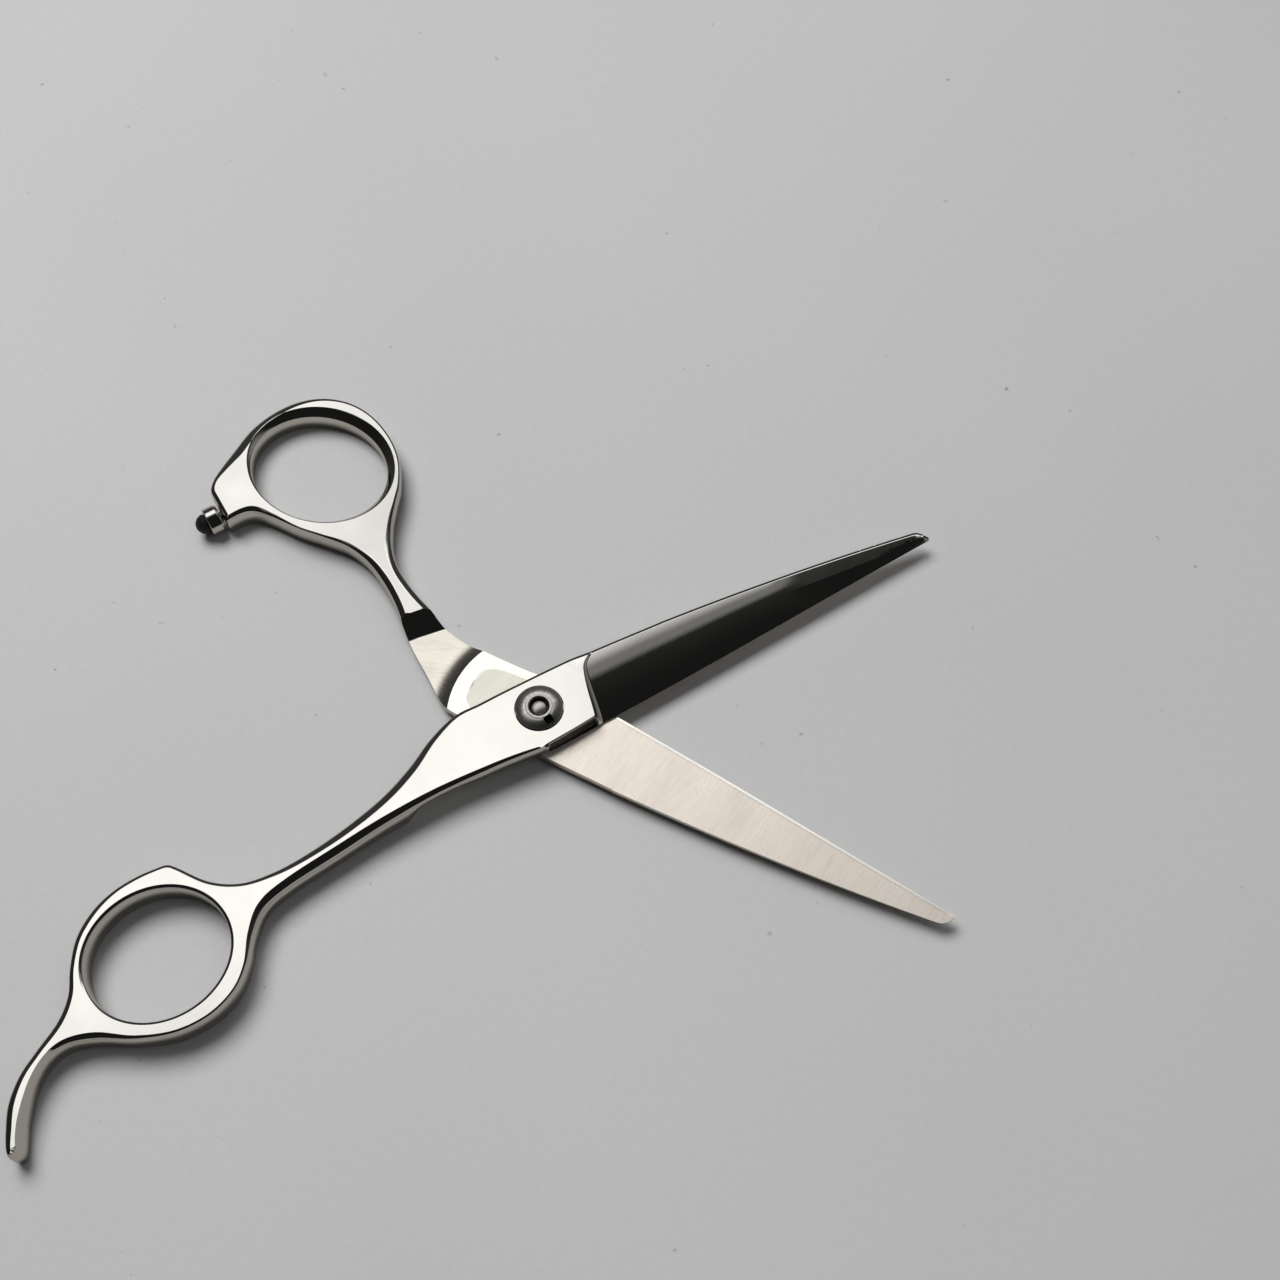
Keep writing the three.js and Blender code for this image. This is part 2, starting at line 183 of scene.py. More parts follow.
def ellipse(shape, count, reach):
    """A hole, wound the other way from an outline, with its rounding reach on both sides."""
    turn = -np.linspace(0, 2 * np.pi, count, endpoint=False)
    x = shape["x"] + shape["a"] * np.cos(turn)
    y = shape["y"] + shape["b"] * np.sin(turn)
    return np.stack([x, y, np.full(count, reach[0]), np.full(count, reach[1]), np.zeros(count)], 1)


def smooth(low, high, x):
    t = np.clip((x - low) / (high - low), 0, 1)
    return t * t * (3 - 2 * t)


def oval(x, y):
    """Below 1 inside the shallow recess of the half moon."""
    return (np.abs(x) / OVAL[0]) ** 4 + (np.abs(y) / OVAL[1]) ** 4


def edge_y(x):
    t = np.clip(x / BLADE_LENGTH, 0, 1)
    return -EDGE_HALF_WIDTH * (1 - t) * (1 + EDGE_BELLY * np.sin(np.pi * t))


def crown_share(across):
    """Height of the ground face, from 1 at the spine to 0 at the cutting edge."""
    return 1 - CROWN_TILT * across - (1 - CROWN_TILT) * across**CROWN_POWER


def spine_y(x):
    t = np.clip(x / BLADE_LENGTH, 0, 1)
    nose = np.clip((x - BLADE_LENGTH + NOSE_LENGTH) / NOSE_LENGTH, 0, 1)
    return SPINE_HALF_WIDTH + (SPINE_TIP_HALF_WIDTH - SPINE_HALF_WIDTH) * t**SPINE_POWER - NOSE_DROP * nose**2


def blade_outline(spine_end):
    """From the heel out along the cutting edge, round the tip and back along the spine."""
    t = np.linspace(0, 1, 150)
    x = HEEL_X + (BLADE_LENGTH - HEEL_X) * t
    edge = np.stack([x, edge_y(x), *np.zeros((3, 150))], 1)
    tip_y = spine_y(BLADE_LENGTH)
    tip = np.array([[BLADE_LENGTH + .12, .08, .1, .03, 0], [BLADE_LENGTH + .15, .3, .15, .03, 0]])
    x = BLADE_LENGTH - (BLADE_LENGTH - spine_end) * (1 - (1 - np.linspace(0, 1, 130))**1.6)
    spine = np.stack([x, spine_y(x), np.full(130, SPINE_ROUND), np.full(130, .05), np.zeros(130)], 1)
    spine[0, 1] = tip_y
    return edge, tip, spine


# ---------------------------------------------------------------- distances
class Loop:
    """A closed outline, or an open line, that points are measured from."""

    def __init__(self, points, closed=True):
        self.points = points
        self.closed = closed
        follow = np.roll(points, -1, axis=0) if closed else points[1:]
        self.start = points if closed else points[:-1]
        self.run = follow - self.start
        self.length2 = np.maximum((self.run[:, :2] ** 2).sum(1), 1e-12)

    def nearest(self, p):
        """The index of the nearest segment, for each point."""
        found = np.empty(len(p), int)
        for i in range(0, len(p), 2000):
            found[i:i + 2000] = self._measure(p[i:i + 2000], np.arange(len(self.start))[None, :])[1]
        return found

    def _measure(self, p, index):
        a = self.start[index]
        run = self.run[index]
        off = p[:, None, :] - a[..., :2]
        t = np.clip((off * run[..., :2]).sum(-1) / self.length2[index], 0, 1)
        gap = off - t[..., None] * run[..., :2]
        d2 = (gap ** 2).sum(-1)
        best = d2.argmin(1)
        rows = np.arange(len(p))
        segment = np.broadcast_to(index, d2.shape)[rows, best]
        reach = self.start[segment][:, 2:] + t[rows, best][:, None] * self.run[segment][:, 2:]
        return np.sqrt(d2[rows, best]), segment, reach

    def distance(self, p, near=None):
        """Distance and carried columns. near limits the search to segments beside a known one."""
        if near is None:
            near = self.nearest(p)
        index = near[:, None] + np.arange(-3, 4)[None, :]
        index = index % len(self.start) if self.closed else np.clip(index, 0, len(self.start) - 1)
        d, _, reach = self._measure(p, index)
        return d, reach


def inside(polygon, p):
    x, y = p[:, 0], p[:, 1]
    result = np.zeros(len(p), bool)
    for (x0, y0), (x1, y1) in zip(polygon, np.roll(polygon, -1, axis=0)):
        if y0 == y1:
            continue
        crosses = ((y0 > y) != (y1 > y)) & (x < (x1 - x0) * (y - y0) / (y1 - y0) + x0)
        result ^= crosses
    return result


def rounding(d, reach, steep=0.0):
    """How far the surface has dropped at distance d from the side.

    It is a facet of this reach that rounds into the side. A steep edge (1) is instead a nearly upright slope.
    """
    t = 1 - np.clip(d / np.maximum(reach, 1e-6), 0, 1)
    facet = FACET_SLOPE * t**1.25 + (1 - FACET_SLOPE) * (1 - np.sqrt(np.maximum(1 - t**12, 0)))
    return reach * ((1 - steep) * facet + steep * STEEP_DROP * t)


# ---------------------------------------------------------------- the halves
class Half:
    """What the two halves share: outline, holes, and the heights of both faces."""

    def __init__(self, stretches, hole, bore, spine_join):
        edge, tip, spine = blade_outline(spine_join)
        pieces = [spline(stretch, OUTLINE_STEP)[:-1] for stretch in stretches]
        self.outline = np.vstack([*pieces, edge, tip, spine[:-1]])
        marks = np.cumsum([0] + [len(piece) for piece in pieces])
        corners = list(marks[1:]) + [marks[-1] + len(edge) - 1, marks[-1] + len(edge) + 1]
        self.loops = [Loop(self.outline), Loop(hole), Loop(circle(bore, 72))]
        self.corners = [set(corners), set(), set()]
        self.front = Loop(np.vstack([spline(FRONT_HEEL, .3)[:-1], spline(FRONT_STEP, .3)]), closed=False)
        far = 200.0
        box = np.array([[30, far], [-far, far], [-far, -far], [FRONT_HEEL[0][0], -far]])
        self.block = np.vstack([self.front.points[:, :2], box])

    def near(self, p):
        return [loop.nearest(p) for loop in self.loops] + [self.front.nearest(p)]

    def blade_height(self, x, y):
        along = np.clip(x / BLADE_LENGTH, 0, 1)
        height = BLADE_HEIGHT + (TIP_HEIGHT - BLADE_HEIGHT) * along**1.5
        spine = spine_y(x)
        across = np.clip((spine - y) / (spine - edge_y(x) + 1e-3), 0, 1)
        ridge = (spine - np.interp(x, *NOSE_RIDGE)) / (spine - edge_y(x) + 1e-3)
        ridge = np.clip(ridge, .05, .62)
        fall = NOSE_SLOPE * (spine - edge_y(x)) / height
        nose = np.where(across < ridge, 1 - fall * across, (1 - fall * ridge) * (1 - across) / (1 - ridge))
        share = crown_share(across)
        share = share + smooth(*NOSE_START, x) * (nose - share)
        return HALF_GAP + EDGE_THICKNESS + (height - EDGE_THICKNESS) * share

    def strip(self, x, y):
        """How far the plateau has sunk to the blade's height in the corner by the spine."""
        return smooth(2.6, 6.0, y) * smooth(7.5, 12.5, x)

    def outer(self, p, near):
        x, y = p[:, 0], p[:, 1]
        blade = self.blade_height(x, y)
        d_edge, reach_edge = self.loops[0].distance(p, near[0])
        d_hole, reach_hole = self.loops[1].distance(p, near[1])
        d_front, reach_front = self.front.distance(p, near[3])
        in_block = inside(self.block, p)
        drop = rounding(d_edge, reach_edge[:, 0], reach_edge[:, 2]) + self.outer_rim(d_hole, reach_hole)
        block = self.block_height(x, y) - rounding(d_front, np.where(x > -4, reach_front[:, 1], 0))
        foot = np.clip(1 - d_front / reach_front[:, 0], 0, 1) ** 1.7
        wall = self.block_height(x, y) - reach_front[:, 1]
        outside = blade + np.maximum(wall - blade, 0) * foot
        height = np.where(in_block, block, outside) - drop
        return self.counterbore(p, height)

    def outer_rim(self, d, reach):
        return rounding(d, reach[:, 0])

    def inner_rim(self, d, reach):
        return rounding(d, reach[:, 1])

    def counterbore(self, p, height):
        radius, floor, bevel = self.outer_seat
        r = np.hypot(p[:, 0], p[:, 1])
        edge = height - bevel * np.clip(1 - (r - radius) / bevel, 0, 1)
        wall = floor + (edge - floor) * np.clip((r - radius + SEAT_WALL) / SEAT_WALL, 0, 1)
        return np.where(r < radius, wall, edge)

    def lap(self, p):
        """The inner face from the tip to the scoop, as if it went on for ever."""
        x, y = p[:, 0], p[:, 1]
        r = np.hypot(x, y)
        ramp = np.clip((r - MOON_RADIUS) / (VALLEY_START - MOON_RADIUS), 0, 1)
        valley = VALLEY_DEPTH * (1 - (1 - ramp) ** VALLEY_POWER) + OVAL[2] * smooth(1.0, .9, oval(x, y))
        from_edge = y - edge_y(x)
        hollow = HOLLOW * np.clip((from_edge - RIDE_WIDTH) / RIDE_STEP, 0, 1) * smooth(5, 12, x)
        ride_slope = .05 + .0012 * np.maximum(x, 0)
        hollow = hollow + ride_slope * np.clip(RIDE_WIDTH - from_edge, 0, None) * (x > 3)
        valley = np.where(x < 0, valley, 0)
        u = x * math.cos(self.scoop["angle"]) + y * math.sin(self.scoop["angle"])
        s = np.maximum(u - self.scoop["base"], 0) / self.scoop["run"]
        return HALF_GAP + valley + hollow - self.scoop["rise"] * s**1.35

    def handle_inner(self, p, near):
        d_edge, reach_edge = self.loops[0].distance(p, near[0])
        d_hole, reach_hole = self.loops[1].distance(p, near[1])
        drop = rounding(d_edge, reach_edge[:, 1]) + self.inner_rim(d_hole, reach_hole)
        return self.inner_height(p[:, 0], p[:, 1]) + drop

    def inner(self, p, near):
        height = np.maximum(self.lap(p), self.handle_inner(p, near))
        if self.inner_seat:
            radius, floor = self.inner_seat
            r = np.hypot(p[:, 0], p[:, 1])
            wall = floor + (height - floor) * np.clip((r - radius + SEAT_WALL) / SEAT_WALL, 0, 1)
            height = np.where(r < radius, wall, height)
        return height

    def scoop_lines(self):
        """The foot of the scoop, and the line where it runs out through the handle's inner side."""
        angle = self.scoop["angle"]
        along = np.array([math.cos(angle), math.sin(angle)])
        across = np.array([-along[1], along[0]])
        v = np.arange(-14, 14, .22)
        low = np.full(len(v), self.scoop["base"])
        high = low + 3.2 * self.scoop["run"]
        for _ in range(26):
            middle = (low + high) / 2
            p = middle[:, None] * along + v[:, None] * across
            above = self.lap(p) > self.handle_inner(p, [loop.nearest(p) for loop in self.loops])
            low = np.where(above, middle, low)
            high = np.where(above, high, middle)
        foot = self.scoop["base"] * along + v[:, None] * across
        top = low[:, None] * along + v[:, None] * across
        return foot, top


def circle(radius, count, reach=.05):
    return ellipse({"x": 0, "y": 0, "a": radius, "b": radius}, count, (reach, reach))


class FingerHalf(Half):
    scoop = {"angle": math.radians(200), "base": 23.5, "run": 2.6, "rise": 3.3}
    outer_seat = (3.9, 1.9, .06)
    inner_seat = None

    def __init__(self):
        hole = ellipse(FINGER_HOLE, 170, (.52, .47))
        super().__init__(FINGER_HANDLE, hole, 3.4, 24.0)

    def block_height(self, x, y):
        dip = smooth(-20, -38, x) * smooth(-62, -50, x)
        tang = smooth(-80, -99, x)
        body = 3.0 - .5 * dip - .1 * smooth(-50, -62, x) - .45 * tang
        return body + self.strip(x, y) * (self.blade_height(x, y) + .02 - body)

    def inner_height(self, x, y):
        rise = smooth(-24, -38, x) * smooth(-64, -50, x)
        return -2.8 + .25 * rise


class ThumbHalf(Half):
    scoop = {"angle": math.radians(-137.5), "base": 20.6, "run": 2.6, "rise": 2.35}
    outer_seat = (4.8, 1.85, .12)
    inner_seat = (5.1, .5)

    def __init__(self):
        hole = ellipse(THUMB_HOLE, 180, (.47, .9))
        rim = ellipse(THUMB_RIM, 360, (0, 0))
        hole[:, 3] = Loop(rim).distance(hole[:, :2])[0]
        super().__init__(THUMB_HANDLE, hole, 2.8, 16.0)

    def block_height(self, x, y):
        return 2.8 + self.strip(x, y) * (self.blade_height(x, y) + .02 - 2.8)

    def inner_rim(self, d, reach):
        """A dish cut round the thumb hole, and a small rounded lip at its foot."""
        t = 1 - np.clip(d / reach[:, 1], 0, 1)
        lip = rounding(d, np.full(len(d), .16))
        return reach[:, 1] * .8 * t**1.15 + lip

    def inner_height(self, x, y):
        dish = np.exp(-((x + 65.2) ** 2 + (y + 14.2) ** 2) / 8.0)
        swell = smooth(-44, -36, x) * smooth(-24, -31, x)
        return -1.9 + .07 * dish + .12 * swell


# ---------------------------------------------------------------- meshing
def triangulate(points, edges):
    """Delaunay triangles with the edges kept.

    Returns the points with any crossings added, the triangles, and where each given point now is.
    """
    flat = [Vector((float(x), float(y))) for x, y in points]
    out, _, faces, origin, _, _ = geometry.delaunay_2d_cdt(flat, edges, [], 0, 1e-5)
    place = np.array([tuple(v) for v in out], float)
    where = np.full(len(points), -1)
    for i, sources in enumerate(origin):
        for source in sources:
            where[source] = i
        if sources:
            place[i] = points[sources[0]]
    return place, np.array(faces), where


def inset_rings(half, side):
    """Points along the roundings, and the roundings' tops.

    A point is kept where no other part of its own outline is nearer.
    """
    kept = []
    tops = []
    for loop in half.loops[:2]:
        p = loop.points
        ahead = np.roll(p[:, :2], -1, axis=0) - np.roll(p[:, :2], 1, axis=0)
        normal = np.stack([-ahead[:, 1], ahead[:, 0]], 1)
        normal /= np.linalg.norm(normal, axis=1)[:, None] + 1e-9
        for share in BEVEL_SHARES:
            depth = p[:, 2 + side] * share
            q = p[:, :2] + depth[:, None] * normal
            real = loop.distance(q)[0]
            good = (depth > .035) & (real > .96 * depth)
            if share < 1:
                kept.append(q[good])
                continue
            for run in np.split(np.arange(len(q)), np.flatnonzero(~good)):
                run = run[good[run]]
                if len(run) > 2:
                    tops.append((q[run], False))
    return np.vstack(kept), tops


def blade_grid():
    rows = []
    for x in np.arange(HEEL_X + .5, BLADE_LENGTH - .2, .9):
        low = edge_y(x)
        high = spine_y(x)
        across = np.concatenate([[.02, .05], np.linspace(.1, .94, max(4, round((high - low) / .62)))])
        y = low + (high - low) * across
        rows.append(np.stack([np.full(len(y), x), y], 1))
    return np.vstack(rows)


def hex_grid(low, high):
    rows = []
    for row, y in enumerate(np.arange(low[1], high[1], GRID_STEP * .866)):
        x = np.arange(low[0] + (row % 2) * GRID_STEP / 2, high[0], GRID_STEP)
        rows.append(np.stack([x, np.full(len(x), y)], 1))
    return np.vstack(rows)


def clear_of(p, others, gap):
    """The points of p with nothing of others nearer than gap."""
    cell = {}
    for x, y in others:
        cell.setdefault((int(x // gap), int(y // gap)), []).append((x, y))
    keep = np.ones(len(p), bool)
    for i, (x, y) in enumerate(p):
        cx, cy = int(x // gap), int(y // gap)
        for kx in (cx - 1, cx, cx + 1):
            for ky in (cy - 1, cy, cy + 1):
                for ox, oy in cell.get((kx, ky), ()):
                    if (ox - x) ** 2 + (oy - y) ** 2 < gap * gap:
                        keep[i] = False
    return p[keep]


def offset(line, distance):
    """A copy of an open line moved sideways, to the right of its direction for positive distances."""
    ahead = np.gradient(line[:, :2], axis=0)
    normal = np.stack([ahead[:, 1], -ahead[:, 0]], 1)
    normal /= np.linalg.norm(normal, axis=1)[:, None] + 1e-9
    return line[:, :2] + np.asarray(distance)[:, None] * normal


def root(value):
    return np.sign(value) * np.sqrt(np.abs(value))


def features(half, side):
    """Creases of one face, as lists of points, each with True where it closes on itself."""
    lines = []
    if side == 0:
        radius, _, bevel = half.outer_seat
        for r in (radius + bevel, radius, radius - SEAT_WALL):
            lines.append((circle(r, 96)[:, :2], True))
        lines.append((half.front.points[:, :2], False))
        for column, sign, share in ((2, 1, 1), (3, -1, 1), (2, 1, .5), (2, 1, .25), (2, 1, .75)):
            line = offset(half.front.points, sign * share * half.front.points[:, column])
            lines.append((line, False if share == 1 else None))
        x = np.linspace(NOSE_START[0] + 1, BLADE_LENGTH - .9, 90)
        lines.append((np.stack([x, np.interp(x, *NOSE_RIDGE)], 1), False))
    else:
        if half.inner_seat:
            radius = half.inner_seat[0]
            lines.append((circle(radius, 96)[:, :2], True))
            lines.append((circle(radius - SEAT_WALL, 96)[:, :2], True))
        for radius in MOON_RADIUS + np.array([0, .4, .8, 1.3, 1.9, 2.6, 3.4, 4.2, 5.1]):
            turn = np.radians(np.arange(100, 261, 1.5))
            arc = radius * np.stack([np.cos(turn), np.sin(turn)], 1)
            lines.append((arc, False if radius == MOON_RADIUS else None))
        foot, top = half.scoop_lines()
        lines.append((foot, False))
        lines.append((top, False))
        for share in (.12, .25, .4, .6, .8):
            lines.append((foot + share * (top - foot), None))
        x = np.linspace(5, BLADE_LENGTH - 1.5, 110)
        for d in (RIDE_WIDTH, RIDE_WIDTH + RIDE_STEP):
            lines.append((np.stack([x, edge_y(x) + d], 1), False))
        turn = np.radians(np.arange(91, 270, 3))
        for level in (1.0, .9):
            shape = level ** .25 * np.stack([OVAL[0] * root(np.cos(turn)), OVAL[1] * root(np.sin(turn))], 1)
            lines.append((shape, False))
    return lines


def within(half, p, margin):
    keep = inside(half.loops[0].points[:, :2], p)
    for loop in half.loops[1:]:
        keep &= ~inside(loop.points[:, :2], p)
    p = p[keep]
    d = np.minimum.reduce([loop.distance(p)[0] for loop in half.loops])
    return p[d > margin]


def ring_edges(rings):
    """Edges that close each ring, with the points numbered ring after ring, and the next free number."""
    edges = []
    start = 0
    for ring in rings:
        index = np.arange(len(ring)) + start
        edges += list(zip(index.tolist(), np.roll(index, -1).tolist()))
        start += len(ring)
    return edges, start


def face_points(half, side):
    """All the plan points of one face, and the edges to keep between them."""
    points = [loop.points[:, :2] for loop in half.loops]
    edges, start = ring_edges(points)
    rings, tops = inset_rings(half, side)
    loose = [rings]
    for line, closed in features(half, side) + tops:
        if closed is None:
            loose.append(within(half, line, .1))
            continue
        keep = within(half, line, .04)
        kept = {tuple(q) for q in keep}
        previous = None
        first = start
        for q in line:
            if tuple(q) not in kept:
                previous = None
                continue
            points.append(q[None, :])
            if previous is not None:
                edges.append((previous, start))
            previous = start
            start += 1
        if closed and previous is not None and start - first == len(line):
            edges.append((previous, first))
    kept = np.vstack(points)
    loose = within(half, np.vstack(loose), .03)
    loose = clear_of(loose, kept, .028)
    loose = thin_out(loose, .028)
    grid = within(half, blade_grid(), .06)
    low = half.outline[:, :2].min(0)
    high = np.array([8.0, half.outline[:, 1].max()])
    grid = grid[grid[:, 0] > 8] if side == 0 else grid
    spread = within(half, hex_grid(low, high if side == 0 else np.array([HEEL_X, high[1]])), .25)
    grid = clear_of(np.vstack([grid, spread]), np.vstack([kept, loose]), .24)
    return np.vstack([kept, loose, grid]), edges


def thin_out(p, gap):
    """Drops each point that lies in the same small cell as an earlier one."""
    cells = np.round(p / gap).astype(int)
    _, first = np.unique(cells, axis=0, return_index=True)
    return p[np.sort(first)]


def facing_up(place, faces):
    """The same triangles, all wound anticlockwise in plan."""
    a, b, c = place[faces[:, 0]], place[faces[:, 1]], place[faces[:, 2]]
    area = (b[:, 0] - a[:, 0]) * (c[:, 1] - a[:, 1]) - (b[:, 1] - a[:, 1]) * (c[:, 0] - a[:, 0])
    return np.where((area > 0)[:, None], faces, faces[:, ::-1])


def corner_normals(height_of, place, faces, near):
    """The upward normal at each triangle's corners, from the slope just inside the triangle."""
    corner = place[faces].reshape(-1, 2)
    centre = np.repeat(place[faces].mean(1), 3, axis=0)
    probe = corner + PROBE_SHIFT * (centre - corner)
    h = SLOPE_STEP
    slope_x = (height_of(probe + [h, 0], near) - height_of(probe - [h, 0], near)) / (2 * h)
    slope_y = (height_of(probe + [0, h], near) - height_of(probe - [0, h], near)) / (2 * h)
    normal = np.stack([-slope_x, -slope_y, np.ones(len(probe))], 1)
    return normal / np.linalg.norm(normal, axis=1)[:, None]


def surface(half, side):
    """One face of a half: plan points, heights, triangles, corner normals and the boundary's points."""
    points, edges = face_points(half, side)
    place, faces, where = triangulate(points, edges)
    middle = place[faces].mean(1)
    keep = inside(half.loops[0].points[:, :2], middle)
    for loop in half.loops[1:]:
        keep &= ~inside(loop.points[:, :2], middle)
    faces = facing_up(place, faces[keep])
    height_of = half.outer if side == 0 else half.inner
    near = half.near(place)
    height = height_of(place, near)
    normal = corner_normals(height_of, place, faces, [n[faces].reshape(-1) for n in near])
    boundary = []
    start = 0
    for loop in half.loops:
        boundary.append(where[start:start + len(loop.points)])
        start += len(loop.points)
    return place, height, faces, normal, boundary


def leaning(flat, angle):
    """Sideways directions turned up by an angle."""
    return np.column_stack([flat * math.cos(angle), np.full(len(flat), math.sin(angle))])


def build_half(half, zone):
    """One closed mesh: outer face, inner face and the side walls. Normals are worked out from the heights."""
    top, top_z, top_faces, top_normals, top_rings = surface(half, 0)
    low, low_z, low_faces, low_normals, low_rings = surface(half, 1)
    vertices = np.vstack([np.column_stack([top, top_z]), np.column_stack([low, low_z])])
    shift = len(top)
    faces = [top_faces, low_faces[:, ::-1] + shift]
    normals = [top_normals.reshape(-1, 3, 3), -low_normals.reshape(-1, 3, 3)[:, ::-1]]
    kinds = [zone(half, top[top_faces].mean(1), 0), zone(half, low[low_faces].mean(1), 1)]
    for loop, upper, lower, corners in zip(half.loops, top_rings, low_rings, half.corners):
        p = loop.points[:, :2]
        count = len(p)
        out = np.roll(p, -1, axis=0) - p
        out = np.stack([out[:, 1], -out[:, 0]], 1)
        out /= np.linalg.norm(out, axis=1)[:, None] + 1e-9
        soft = out + np.roll(out, 1, axis=0)
        soft /= np.linalg.norm(soft, axis=1)[:, None] + 1e-9
        bulge = 0 if loop is half.loops[2] else WALL_BULGE
        tall = vertices[upper, 2] - vertices[lower + shift, 2]
        rows = [upper]
        for share in WALL_ROWS:
            push = bulge * 4 * share * (1 - share) * tall
            rows.append(np.arange(count) + len(vertices))
            vertices = np.vstack([vertices, np.column_stack([p + push[:, None] * soft,
                                                             vertices[upper, 2] - share * tall])])
        rows.append(lower + shift)
        lean = WALL_LEAN * (1 - 2 * np.array([0, *WALL_ROWS, 1])) * (bulge > 0)
        here = np.arange(count)
        after = (here + 1) % count
        sharp = np.isin(here, list(corners))[:, None]
        n_i = np.where(sharp, out, soft)
        n_j = np.where(sharp[after], out, soft[after])
        kind = zone(half, (p + p[after]) / 2, 2)
        for above, below, tilt_a, tilt_b in zip(rows, rows[1:], lean, lean[1:]):
            a, b, c, d = above[here], above[after], below[here], below[after]
            faces += [np.column_stack([a, c, d]), np.column_stack([a, d, b])]
            ia, ja = leaning(n_i, tilt_a), leaning(n_j, tilt_a)
            ic, jd = leaning(n_i, tilt_b), leaning(n_j, tilt_b)
            normals += [np.stack([ia, ic, jd], 1), np.stack([ia, jd, ja], 1)]
            kinds += [kind, kind]
    return vertices, np.vstack(faces), np.vstack(normals), np.concatenate(kinds)


def turned(points, angle):
    c, s = math.cos(angle), math.sin(angle)
    return points @ np.array([[c, s, 0], [-s, c, 0], [0, 0, 1]])


def make_object(name, vertices, faces, materials, normals=None, kinds=None):
    mesh = bpy.data.meshes.new(name)
    mesh.from_pydata((vertices * MM).tolist(), [], faces.tolist() if hasattr(faces, "tolist") else faces)
    for material in materials:
        mesh.materials.append(material)
    if kinds is not None:
        mesh.polygons.foreach_set("material_index", np.ascontiguousarray(kinds, dtype=np.int32))
    if normals is not None:
        mesh.normals_split_custom_set(normals.reshape(-1, 3).tolist())
    mesh.update()
    thing = bpy.data.objects.new(name, mesh)
    bpy.context.scene.collection.objects.link(thing)
    return thing


# ---------------------------------------------------------------- materials
class Nodes:
    """Short way to write a node material."""

    def __init__(self, name):
        self.material = bpy.data.materials.new(name)
        self.material.use_nodes = True
        self.tree = self.material.node_tree
        self.shader = self.tree.nodes["Principled BSDF"]

    def add(self, kind, **settings):
        node = self.tree.nodes.new(kind)
        for key, value in settings.items():
            setattr(node, key, value)
        return node

    def link(self, a, b):
        self.tree.links.new(a, b)

    def place(self, scale, rotation=0.0):
        coordinates = self.add("ShaderNodeTexCoord")
        turn = self.add("ShaderNodeMapping")
        turn.inputs["Rotation"].default_value = (0, 0, rotation)
        stretch = self.add("ShaderNodeMapping")
        stretch.inputs["Scale"].default_value = scale
        self.link(coordinates.outputs["Object"], turn.inputs["Vector"])
        self.link(turn.outputs["Vector"], stretch.inputs["Vector"])
        return stretch.outputs["Vector"]

    def noise(self, vector, detail=3.0, roughness=.55, scale=1.0):
        node = self.add("ShaderNodeTexNoise")
        node.inputs["Scale"].default_value = scale
        node.inputs["Detail"].default_value = detail
        node.inputs["Roughness"].default_value = roughness
        self.link(vector, node.inputs["Vector"])
        return node.outputs["Fac"]

    def ramp(self, value, stops):
        node = self.add("ShaderNodeValToRGB")
        ramp = node.color_ramp
        while len(ramp.elements) < len(stops):
            ramp.elements.new(.5)
        for element, (position, colour) in zip(ramp.elements, stops):
            element.position = position
            element.color = (*colour, 1) if isinstance(colour, tuple) else (colour, colour, colour, 1)
        self.link(value, node.inputs["Fac"])
        return node.outputs["Color"]

    def span(self, value, low, high, to_low, to_high):
        node = self.add("ShaderNodeMapRange")
        for key, number in zip(("From Min", "From Max", "To Min", "To Max"), (low, high, to_low, to_high)):
            node.inputs[key].default_value = number
        self.link(value, node.inputs["Value"])
        return node.outputs["Result"]

    def math(self, operation, a, b=None):
        node = self.add("ShaderNodeMath", operation=operation)
        for socket, value in zip(node.inputs, (a, b)):
            if value is None:
                continue
            if isinstance(value, (int, float)):
                socket.default_value = value
            else:
                self.link(value, socket)
        return node.outputs[0]

    def bump(self, height, strength, distance):
        node = self.add("ShaderNodeBump")
        node.inputs["Strength"].default_value = strength
        node.inputs["Distance"].default_value = distance
        self.link(height, node.inputs["Height"])
        self.link(node.outputs["Normal"], self.shader.inputs["Normal"])

    def wear(self):
        """Close to 1 along worn outside edges and 0 elsewhere."""
        geometry_node = self.add("ShaderNodeNewGeometry")
        return self.span(geometry_node.outputs["Pointiness"], .52, .62, 0, 1)


def polished_steel():
    """Mirror polish with the faint haze, wiping marks and rubbed edges of handled steel."""
    m = Nodes("polished_steel")
    m.shader.inputs["Metallic"].default_value = 1
    haze = m.noise(m.place((90, 90, 90)), 4, .6)
    marks = m.noise(m.place((2600, 160, 900), .6), 2, .5)
    colour = m.ramp(haze, [(.25, (.60, .59, .565)), (.55, (.635, .625, .60)), (.8, (.67, .66, .635))])
    m.link(colour, m.shader.inputs["Base Color"])
    rough = m.math("ADD", m.span(haze, .3, .7, .03, .06), m.span(marks, .62, .78, 0, .05))
    rough = m.math("ADD", rough, m.math("MULTIPLY", m.wear(), .05))
    m.link(rough, m.shader.inputs["Roughness"])
    m.bump(m.math("ADD", marks, haze), .06, .00002)
    return m.material


